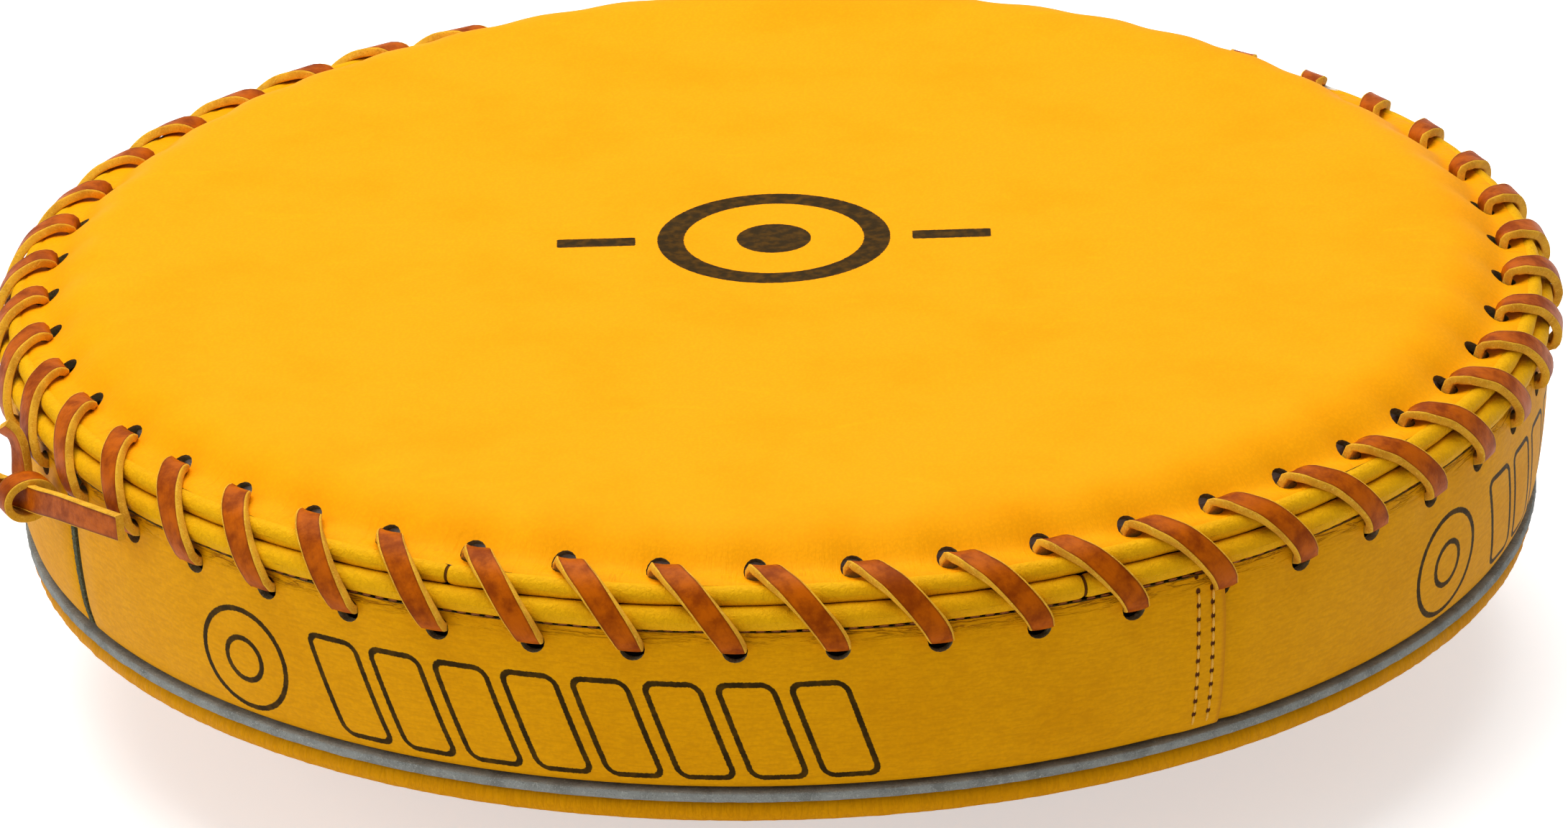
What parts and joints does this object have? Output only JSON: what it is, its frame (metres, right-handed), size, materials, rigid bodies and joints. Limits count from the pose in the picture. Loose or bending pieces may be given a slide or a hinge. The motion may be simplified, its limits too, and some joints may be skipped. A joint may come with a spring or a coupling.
{
  "type": "kick shield",
  "caption": "Round laced leather strike pad with a crowned face, padded drum body and two hand and forearm straps across its flat back.",
  "frame": {"origin": "centre of the back panel's outer face, between the two straps", "axes": "+Z out of the strike face, -Y towards the front lap seam, straps run along Y and stand apart along X"},
  "size_m": [0.3813, 0.3813, 0.1071],
  "materials": {
    "face_leather": "smooth full-grain leather, golden yellow, satin",
    "band_leather": "smooth full-grain leather, golden yellow, satin",
    "roll_leather": "thin rolled leather, golden yellow, wrinkled",
    "lace_leather": "oiled rawhide lace, orange brown",
    "welt_leather": "raw cut edge of chrome-tanned leather, grey",
    "strap_leather": "full-grain strap leather, golden brown",
    "lining_leather": "soft undyed leather",
    "cotton_cord": "twisted cotton cord",
    "thread": "waxed nylon thread, yellow",
    "brown_thread": "waxed nylon thread, brown",
    "felt": "pressed wool felt",
    "firm_foam": "closed-cell EVA foam",
    "soft_foam": "open-cell polyurethane foam",
    "board": "HDPE sheet",
    "rivet_brass": "polished solid brass"
  },
  "bodies": {
    "root": {"face_panel": "face_leather", "face_roll": "roll_leather", "face_roll_cord": "cotton_cord", "band_roll": "roll_leather", "band_roll_cord": "cotton_cord", "band_front": "band_leather", "band_right": "band_leather", "band_rear": "band_leather", "band_left": "band_leather", "closing_welt": "welt_leather", "base_welt": "welt_leather", "back_panel": "band_leather", "face_roll_thread": "brown_thread", "band_roll_thread": "brown_thread", "base_seam_thread": "thread", "lap_seam_thread": "thread", "edge_lace": "lace_leather", "lace_knot": "lace_leather", "face_felt": "felt", "firm_foam": "firm_foam", "soft_foam": "soft_foam", "back_board": "board", "forearm_strap": "strap_leather", "forearm_strap_lining": "lining_leather", "hand_strap": "strap_leather", "hand_strap_lining": "lining_leather", "strap_rivets": "rivet_brass", "rivet_burrs": "rivet_brass", "strap_thread": "thread"}
  },
  "joints": []
}
